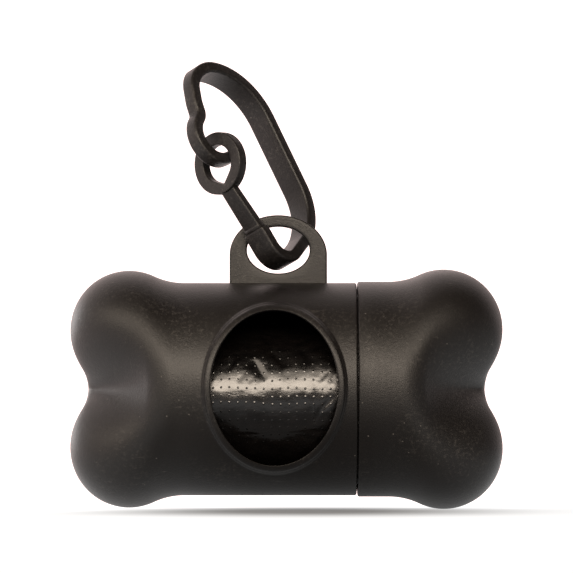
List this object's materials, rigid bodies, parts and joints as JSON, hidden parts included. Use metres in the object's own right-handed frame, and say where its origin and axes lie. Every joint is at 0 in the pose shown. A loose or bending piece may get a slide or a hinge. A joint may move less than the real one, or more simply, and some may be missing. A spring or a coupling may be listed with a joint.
{
  "type": "dog waste bag dispenser",
  "caption": "Bone-shaped moulded case for a roll of dog waste bags, with an oval dispensing window, a pull-off end cap and a carabiner-style clip hung from a lug.",
  "frame": {"origin": "on the axis of the tube, at the middle of the bone's length", "axes": "+X along the tube towards the pull-off cap, -Y out through the dispensing window, +Z towards the hanging lug"},
  "size_m": [0.084, 0.0425, 0.0876],
  "materials": {
    "shell": "satin black moulded plastic with a fine grain",
    "clip": "satin black moulded plastic",
    "film": "glossy black embossed film, tightly rolled",
    "card": "plain wound cardboard; wood stands in for paperboard"
  },
  "bodies": {
    "body": {"main_body": "shell"},
    "cap": {"cap": "shell"},
    "roll": {"bag_roll": "film", "roll_core": "card"},
    "clip": {"clip_frame": "clip"},
    "gate": {"clip_gate": "clip"}
  },
  "joints": [
    {"name": "cap_pull", "type": "slide", "parent": "body", "child": "cap", "axis": [1, 0, 0], "range_m": [0, 0.03]},
    {"name": "roll_spin", "type": "hinge", "parent": "body", "child": "roll", "pos_m": [0, 0, -0.0022], "axis": [1, 0, 0], "continuous": true},
    {"name": "clip_swing", "type": "hinge", "parent": "body", "child": "clip", "pos_m": [-0.0007, -0.0003, 0.02735], "axis": [0.232, 0.9669, -0.1064], "range_deg": [-45, 90]},
    {"name": "gate_press", "type": "hinge", "parent": "clip", "child": "gate", "pos_m": [-0.0062, -0.0039, 0.03105], "axis": [-0.6837, 0.6235, -0.3791], "range_deg": [0, 24], "stiffness_Nm_per_rad": 0.1, "springref_deg": -2.86}
  ]
}
